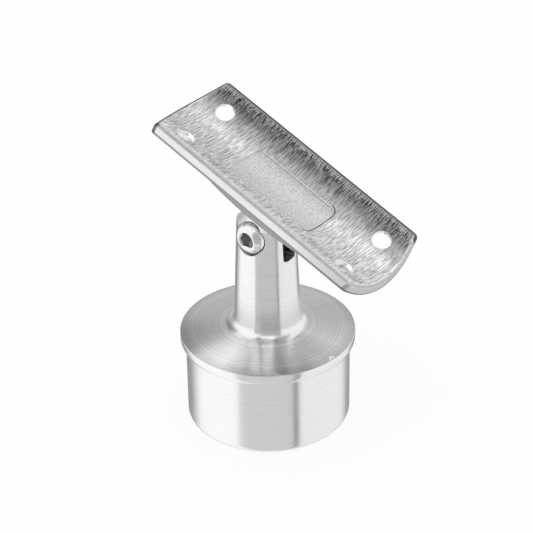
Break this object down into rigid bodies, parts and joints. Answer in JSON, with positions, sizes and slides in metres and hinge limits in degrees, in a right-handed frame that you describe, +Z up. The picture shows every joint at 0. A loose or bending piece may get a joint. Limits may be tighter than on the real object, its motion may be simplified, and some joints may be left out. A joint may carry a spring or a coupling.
{
  "type": "handrail post top saddle",
  "caption": "Cast steel cap for a round handrail post, with a tapered slotted stem and a tilting curved saddle plate that carries a round rail.",
  "frame": {"origin": "on the post's axis, at the plane where the cap's lip rests on the end of the post tube", "axes": "+Z up along the post, +X along the rail towards the saddle's low end, -Y the side of the screw's head"},
  "size_m": [0.0735, 0.0508, 0.0928],
  "materials": {
    "turned_steel": "fine turned satin",
    "brushed_steel": "brushed across the rail, pebbled as cast in the recess",
    "screw_steel": "bright, smooth"
  },
  "bodies": {
    "post": {"post_cap": "turned_steel", "pivot_screw": "screw_steel"},
    "saddle": {"saddle": "brushed_steel"}
  },
  "joints": [
    {"name": "saddle_tilt", "type": "hinge", "parent": "post", "child": "saddle", "pos_m": [0, 0, 0.0367], "axis": [0, 1, 0], "range_deg": [-82.4, 37.6]}
  ]
}
